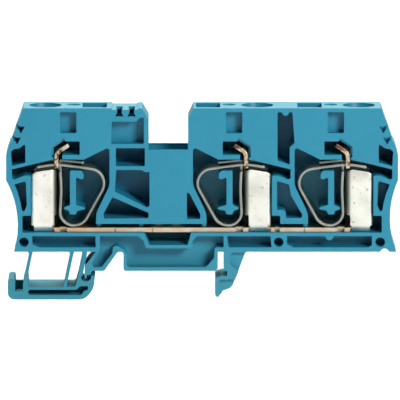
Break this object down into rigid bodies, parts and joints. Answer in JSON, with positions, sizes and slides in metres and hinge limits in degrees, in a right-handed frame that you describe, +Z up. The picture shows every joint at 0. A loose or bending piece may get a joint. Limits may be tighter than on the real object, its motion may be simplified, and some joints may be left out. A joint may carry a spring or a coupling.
{
  "type": "feed-through terminal block",
  "caption": "Rail-mounted feed-through terminal block, open on one side, with tension clamps on a common copper bar and a clip-on rail foot.",
  "frame": {"origin": "middle of the rail's top face under the seat, at half the block's thickness", "axes": "+Z up away from the rail, +X along the block's length towards the paired clamps, -Y out of the open side"},
  "size_m": [0.1012, 0.014, 0.05],
  "materials": {
    "blue_plastic": "satin",
    "copper": "satin",
    "spring_steel": "satin",
    "tinned_sheet": "matte"
  },
  "bodies": {
    "housing": {"housing": "blue_plastic", "current_bar": "copper", "contact_tongue_left": "copper", "conductor_sleeve_left": "tinned_sheet", "contact_tongue_middle": "copper", "conductor_sleeve_middle": "tinned_sheet", "contact_tongue_right": "copper", "conductor_sleeve_right": "tinned_sheet"},
    "release_foot": {"release_foot": "blue_plastic"},
    "clamp_left": {"clamp_spring_left": "spring_steel"},
    "clamp_middle": {"clamp_spring_middle": "spring_steel"},
    "clamp_right": {"clamp_spring_right": "spring_steel"}
  },
  "joints": [
    {"name": "foot_release", "type": "slide", "parent": "housing", "child": "release_foot", "axis": [-1, 0, 0], "range_m": [0, 0.00105], "stiffness_N_per_m": 1000},
    {"name": "clamp_open_left", "type": "slide", "parent": "housing", "child": "clamp_left", "axis": [-0.9864, 0, -0.1644], "range_m": [0, 0.005], "stiffness_N_per_m": 1000, "deforming": ["clamp_spring_left"]},
    {"name": "clamp_open_middle", "type": "slide", "parent": "housing", "child": "clamp_middle", "axis": [0.9864, 0, -0.1644], "range_m": [0, 0.005], "stiffness_N_per_m": 1000, "deforming": ["clamp_spring_middle"]},
    {"name": "clamp_open_right", "type": "slide", "parent": "housing", "child": "clamp_right", "axis": [0.9864, 0, -0.1644], "range_m": [0, 0.005], "stiffness_N_per_m": 1000, "deforming": ["clamp_spring_right"]}
  ]
}
